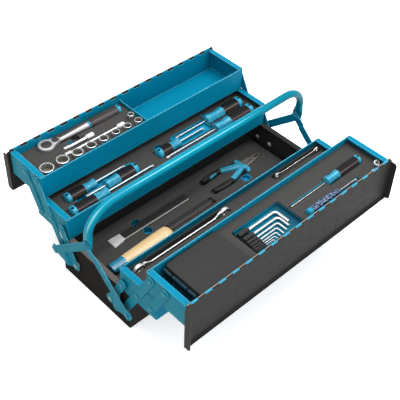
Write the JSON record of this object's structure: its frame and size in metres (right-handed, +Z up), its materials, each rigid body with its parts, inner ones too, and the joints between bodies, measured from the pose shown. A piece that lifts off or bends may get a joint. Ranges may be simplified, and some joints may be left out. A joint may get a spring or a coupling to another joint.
{
  "type": "cantilever tool box",
  "caption": "Portable sheet-steel tool box: base, four folding trays on parallel links, two hinged lids, swinging tube handle, tools in foam.",
  "frame": {"origin": "on the floor under the middle of the base", "axes": "+X along the box, -Y towards the front stack, +Z up"},
  "size_m": [0.5718, 0.5282, 0.2457],
  "materials": {
    "blue_paint": "powder coated sheet steel, petrol blue, satin",
    "black_paint": "powder coated sheet steel, black, satin",
    "foam": "closed-cell foam, dark grey, matt, blue under the surface",
    "zinc_plated_steel": "zinc plated steel",
    "chrome": "polished chrome plate",
    "black_steel": "blackened or lacquered tool steel",
    "ash_wood": "lacquered ash, blue lacquer at one end",
    "black_grip": "soft black grip",
    "grey_plastic": "dark grey moulded plastic",
    "dark_blue_plastic": "dark blue clear plastic",
    "blue_plastic": "blue moulded plastic"
  },
  "bodies": {
    "base": {"base_shell": "black_paint", "base_rivets": "zinc_plated_steel", "base_foam": "foam", "flat_chisel": "black_steel", "cape_chisel": "black_steel", "wood_handle": "ash_wood", "pliers": "black_steel", "plier_grips": "black_grip"},
    "front_long_links": {"front_long_links": "blue_paint"},
    "front_crank": {"front_cranks": "blue_paint", "front_crank_studs": "zinc_plated_steel"},
    "front_short_links": {"front_short_links": "blue_paint"},
    "front_middle": {"front_middle_tray": "blue_paint", "front_middle_rivets": "blue_paint", "front_middle_foam": "foam", "ring_spanners": "chrome"},
    "front_top": {"front_top_tray": "blue_paint", "front_top_rivets": "blue_paint", "front_hinge_wire": "zinc_plated_steel", "front_top_foam": "foam", "flat_case": "grey_plastic", "hex_key_holder": "blue_plastic", "hex_keys": "chrome", "hex_key_sleeves": "black_grip", "slim_screwdriver_grip": "blue_plastic", "slim_screwdriver_blade": "chrome", "voltage_tester": "dark_blue_plastic", "tester_blade": "chrome", "bit_socket": "chrome"},
    "front_lid": {"front_lid": "black_paint"},
    "back_long_links": {"back_long_links": "blue_paint"},
    "back_crank": {"back_cranks": "blue_paint", "back_crank_studs": "zinc_plated_steel"},
    "back_short_links": {"back_short_links": "blue_paint"},
    "back_middle": {"back_middle_tray": "blue_paint", "back_middle_rivets": "blue_paint", "back_middle_foam": "foam", "screwdriver_caps": "blue_plastic", "screwdriver_grips": "black_grip", "screwdriver_collars": "blue_plastic", "screwdriver_blades": "chrome"},
    "back_top": {"back_top_tray": "blue_paint", "back_top_rivets": "blue_paint", "back_hinge_wire": "zinc_plated_steel", "back_top_foam": "foam", "tray_divider": "blue_paint", "ratchet": "chrome", "ratchet_grip": "black_grip", "ratchet_collar": "blue_plastic", "extension_bar": "chrome", "long_extension_bar": "chrome", "sockets": "chrome"},
    "back_lid": {"back_lid": "black_paint"},
    "handle_pivot": {"handle_rivets": "zinc_plated_steel"},
    "handle": {"handle": "blue_paint"},
    "front_arm": {"front_arms": "blue_paint", "front_arm_rivets": "blue_paint"},
    "back_arm": {"back_arms": "blue_paint", "back_arm_rivets": "blue_paint"}
  },
  "joints": [
    {"name": "front_fold", "type": "hinge", "parent": "base", "child": "front_long_links", "pos_m": [0, -0.08855, 0.0483], "axis": [-1, 0, 0], "range_deg": [0, 55.7]},
    {"name": "front_crank_turn", "type": "hinge", "parent": "base", "child": "front_crank", "pos_m": [0, -0.05205, 0.0483], "axis": [-1, 0, 0], "range_deg": [0, 55.75]},
    {"name": "front_middle_level", "type": "hinge", "parent": "front_long_links", "child": "front_middle", "pos_m": [0, -0.12455, 0.11789], "axis": [-1, 0, 0], "range_deg": [-55.75, 0]},
    {"name": "front_top_level", "type": "hinge", "parent": "front_long_links", "child": "front_top", "pos_m": [0, -0.16055, 0.18748], "axis": [-1, 0, 0], "range_deg": [-55.75, 0]},
    {"name": "front_short_turn", "type": "hinge", "parent": "front_middle", "child": "front_short_links", "pos_m": [0, -0.16105, 0.11789], "axis": [-1, 0, 0], "range_deg": [0, 55.75]},
    {"name": "front_lid_hinge", "type": "hinge", "parent": "front_top", "child": "front_lid", "pos_m": [0, -0.24835, 0.20473], "axis": [-1, 0, 0], "range_deg": [0, 270]},
    {"name": "back_fold", "type": "hinge", "parent": "base", "child": "back_long_links", "pos_m": [0, 0.08855, 0.0483], "axis": [1, 0, 0], "range_deg": [0, 55.7]},
    {"name": "back_crank_turn", "type": "hinge", "parent": "base", "child": "back_crank", "pos_m": [0, 0.05205, 0.0483], "axis": [1, 0, 0], "range_deg": [0, 55.75]},
    {"name": "back_middle_level", "type": "hinge", "parent": "back_long_links", "child": "back_middle", "pos_m": [0, 0.12455, 0.11789], "axis": [1, 0, 0], "range_deg": [-55.75, 0]},
    {"name": "back_top_level", "type": "hinge", "parent": "back_long_links", "child": "back_top", "pos_m": [0, 0.16055, 0.18748], "axis": [1, 0, 0], "range_deg": [-55.75, 0]},
    {"name": "back_short_turn", "type": "hinge", "parent": "back_middle", "child": "back_short_links", "pos_m": [0, 0.16105, 0.11789], "axis": [1, 0, 0], "range_deg": [0, 55.75]},
    {"name": "back_lid_hinge", "type": "hinge", "parent": "back_top", "child": "back_lid", "pos_m": [0, 0.24835, 0.20473], "axis": [1, 0, 0], "range_deg": [0, 270]},
    {"name": "handle_rise", "type": "slide", "parent": "base", "child": "handle_pivot", "axis": [0, 0, 1], "range_m": [0, 0.06678]},
    {"name": "handle_swing", "type": "hinge", "parent": "handle_pivot", "child": "handle", "pos_m": [0, 0, 0.15115], "axis": [1, 0, 0], "range_deg": [-35.8, 24.2]},
    {"name": "front_arm_turn", "type": "hinge", "parent": "handle_pivot", "child": "front_arm", "pos_m": [0, 0, 0.15115], "axis": [1, 0, 0], "range_deg": [0, 15.64]},
    {"name": "back_arm_turn", "type": "hinge", "parent": "handle_pivot", "child": "back_arm", "pos_m": [0, 0, 0.15115], "axis": [-1, 0, 0], "range_deg": [0, 15.64]}
  ],
  "couplings": [
    {"joint": "front_crank_turn", "follows": "front_fold", "ratio": 1},
    {"joint": "front_middle_level", "follows": "front_fold", "ratio": -1},
    {"joint": "front_top_level", "follows": "front_fold", "ratio": -1},
    {"joint": "front_short_turn", "follows": "front_fold", "ratio": 1},
    {"joint": "back_fold", "follows": "front_fold", "ratio": 1},
    {"joint": "back_crank_turn", "follows": "front_fold", "ratio": 1},
    {"joint": "back_middle_level", "follows": "front_fold", "ratio": -1},
    {"joint": "back_top_level", "follows": "front_fold", "ratio": -1},
    {"joint": "back_short_turn", "follows": "front_fold", "ratio": 1},
    {"joint": "handle_rise", "follows": "front_fold", "m_per_rad": 0.06864},
    {"joint": "front_arm_turn", "follows": "front_fold", "ratio": 0.27997},
    {"joint": "back_arm_turn", "follows": "front_fold", "ratio": 0.27997}
  ]
}
